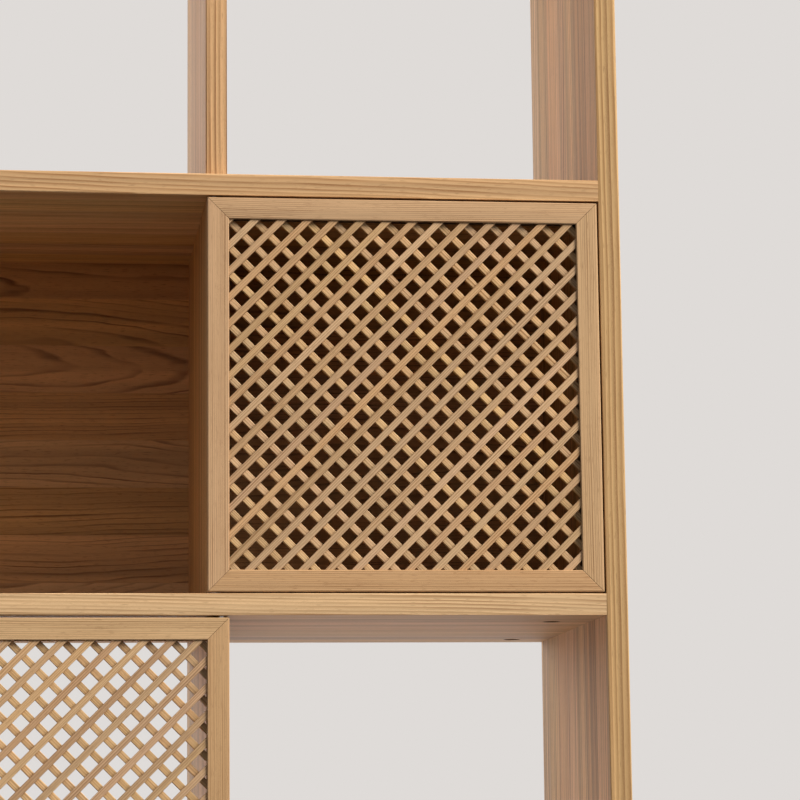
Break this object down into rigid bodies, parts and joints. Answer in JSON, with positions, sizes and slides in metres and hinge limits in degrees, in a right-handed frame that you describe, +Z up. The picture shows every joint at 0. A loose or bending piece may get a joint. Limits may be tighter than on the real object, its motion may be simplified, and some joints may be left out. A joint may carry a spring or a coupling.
{
  "type": "book cabinet",
  "caption": "Tall wooden bookcase of square bays, some open, some backed, some shut by hinged doors with a diagonal lattice.",
  "frame": {"origin": "on the floor, under the middle of the cabinet", "axes": "+Z up, -Y towards the front where the doors are, +X to the right seen from the front"},
  "size_m": [1.0126, 0.32, 1.8],
  "materials": {
    "board_wood": "clear matt oil",
    "back_wood": "clear matt oil",
    "door_frame_wood": "clear matt oil",
    "slat_wood": "clear matt oil",
    "beech_dowels": "plain",
    "zinc_fittings": "cast zinc",
    "steel_pins": "satin",
    "nylon_washers": "moulded",
    "catch_plastic": "moulded, brown",
    "felt": "pressed felt"
  },
  "bodies": {
    "carcass": {"side_panel_left": "board_wood", "side_panel_right": "board_wood", "top_board": "board_wood", "shelf_1": "board_wood", "shelf_2": "board_wood", "shelf_3": "board_wood", "shelf_4": "board_wood", "bottom_board": "board_wood", "divider_row_1_left": "board_wood", "divider_row_1_right": "board_wood", "divider_row_2_left": "board_wood", "divider_row_2_right": "board_wood", "divider_row_3_left": "board_wood", "divider_row_3_right": "board_wood", "divider_row_4_left": "board_wood", "divider_row_4_right": "board_wood", "divider_row_5_left": "board_wood", "divider_row_5_right": "board_wood", "back_panel_row_2_middle": "back_wood", "back_panel_row_2_right": "back_wood", "back_panel_row_3_left": "back_wood", "back_panel_row_4_left": "back_wood", "back_panel_row_4_right": "back_wood", "back_panel_row_5_right": "back_wood", "plinth_rails": "board_wood", "felt_glides": "felt", "cam_locks": "zinc_fittings", "cam_bolts": "zinc_fittings", "dowels": "beech_dowels", "pivot_pins": "steel_pins", "pivot_washers": "nylon_washers", "magnet_catches": "catch_plastic"},
    "door_row_2_right": {"door_row_2_right_left_stile": "door_frame_wood", "door_row_2_right_right_stile": "door_frame_wood", "door_row_2_right_bottom_rail": "door_frame_wood", "door_row_2_right_top_rail": "door_frame_wood", "door_row_2_right_front_slats": "slat_wood", "door_row_2_right_back_slats": "slat_wood", "door_row_2_right_strike_plate": "steel_pins"},
    "door_row_3_middle": {"door_row_3_middle_left_stile": "door_frame_wood", "door_row_3_middle_right_stile": "door_frame_wood", "door_row_3_middle_bottom_rail": "door_frame_wood", "door_row_3_middle_top_rail": "door_frame_wood", "door_row_3_middle_front_slats": "slat_wood", "door_row_3_middle_back_slats": "slat_wood", "door_row_3_middle_strike_plate": "steel_pins"},
    "door_row_4_left": {"door_row_4_left_left_stile": "door_frame_wood", "door_row_4_left_right_stile": "door_frame_wood", "door_row_4_left_bottom_rail": "door_frame_wood", "door_row_4_left_top_rail": "door_frame_wood", "door_row_4_left_front_slats": "slat_wood", "door_row_4_left_back_slats": "slat_wood", "door_row_4_left_strike_plate": "steel_pins"},
    "door_row_5_right": {"door_row_5_right_left_stile": "door_frame_wood", "door_row_5_right_right_stile": "door_frame_wood", "door_row_5_right_bottom_rail": "door_frame_wood", "door_row_5_right_top_rail": "door_frame_wood", "door_row_5_right_front_slats": "slat_wood", "door_row_5_right_back_slats": "slat_wood", "door_row_5_right_strike_plate": "steel_pins"}
  },
  "joints": [
    {"name": "door_row_2_right_swing", "type": "hinge", "parent": "carcass", "child": "door_row_2_right", "pos_m": [0.16275, -0.151, 1.0991], "axis": [0, 0, -1], "range_deg": [0, 110]},
    {"name": "door_row_3_middle_swing", "type": "hinge", "parent": "carcass", "child": "door_row_3_middle", "pos_m": [0.16875, -0.151, 0.7481], "axis": [0, 0, 1], "range_deg": [0, 110]},
    {"name": "door_row_4_left_swing", "type": "hinge", "parent": "carcass", "child": "door_row_4_left", "pos_m": [-0.16275, -0.151, 0.3971], "axis": [0, 0, 1], "range_deg": [0, 110]},
    {"name": "door_row_5_right_swing", "type": "hinge", "parent": "carcass", "child": "door_row_5_right", "pos_m": [0.16275, -0.151, 0.0461], "axis": [0, 0, -1], "range_deg": [0, 110]}
  ]
}
